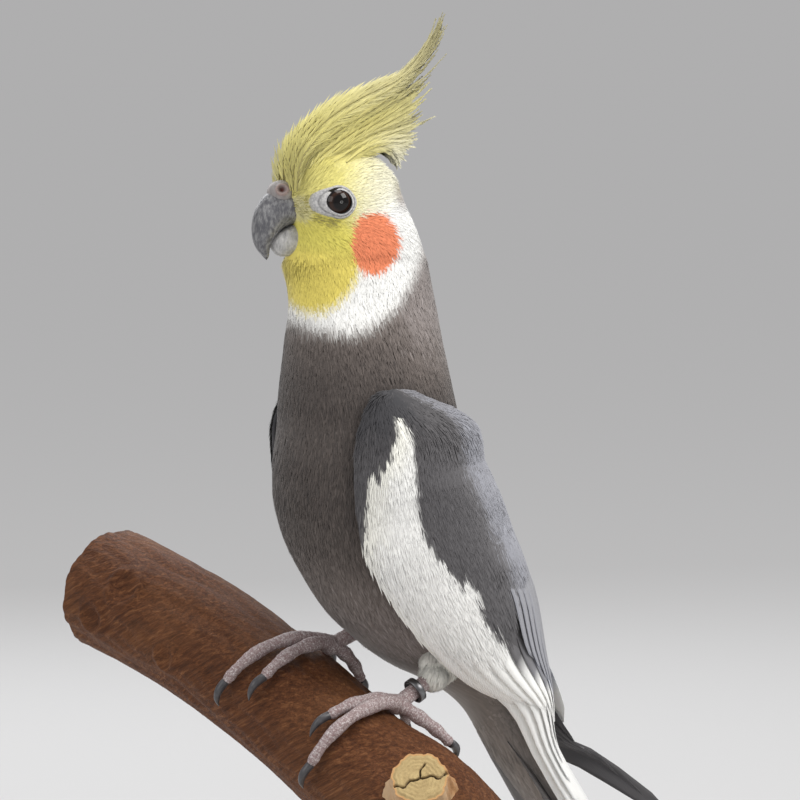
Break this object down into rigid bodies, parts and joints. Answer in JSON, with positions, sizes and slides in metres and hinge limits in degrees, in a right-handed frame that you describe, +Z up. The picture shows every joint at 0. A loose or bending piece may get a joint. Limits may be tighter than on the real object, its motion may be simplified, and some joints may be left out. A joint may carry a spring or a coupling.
{
  "type": "cockatiel",
  "caption": "Life-size adult male grey cockatiel with raised crest, orange cheek and a ringed leg, perched on a short cut length of branch above a round base.",
  "frame": {"origin": "centre of the underside of the display base", "axes": "-Y is the way the bird faces, +X its left side, +Z up"},
  "size_m": [0.1581, 0.1761, 0.2972],
  "materials": {
    "plumage": "soft feather, grey with yellow, orange and white",
    "bill": "smooth horn",
    "cere": "soft bare skin",
    "eye": "wet gloss",
    "skin": "fine scales",
    "claw": "smooth horn",
    "ring": "worn dark metal",
    "bark": "smooth brown bark and dry cut wood",
    "stand": "plain pale satin wood"
  },
  "bodies": {
    "root": {"bill_lower": "bill", "bill_upper": "bill", "branch": "bark", "cere": "cere", "claw_left_inner_front": "claw", "claw_left_inner_hind": "claw", "claw_left_outer_front": "claw", "claw_left_outer_hind": "claw", "claw_right_inner_front": "claw", "claw_right_inner_hind": "claw", "claw_right_outer_front": "claw", "claw_right_outer_hind": "claw", "crest": "plumage", "eye_left": "eye", "eye_right": "eye", "foot_left": "skin", "foot_right": "skin", "head": "plumage", "leg_left": "plumage", "leg_right": "plumage", "leg_ring": "ring", "neck": "plumage", "stand_base": "stand", "stand_rod": "stand", "tail": "plumage", "torso": "plumage", "wing_left": "plumage", "wing_right": "plumage"}
  },
  "joints": []
}
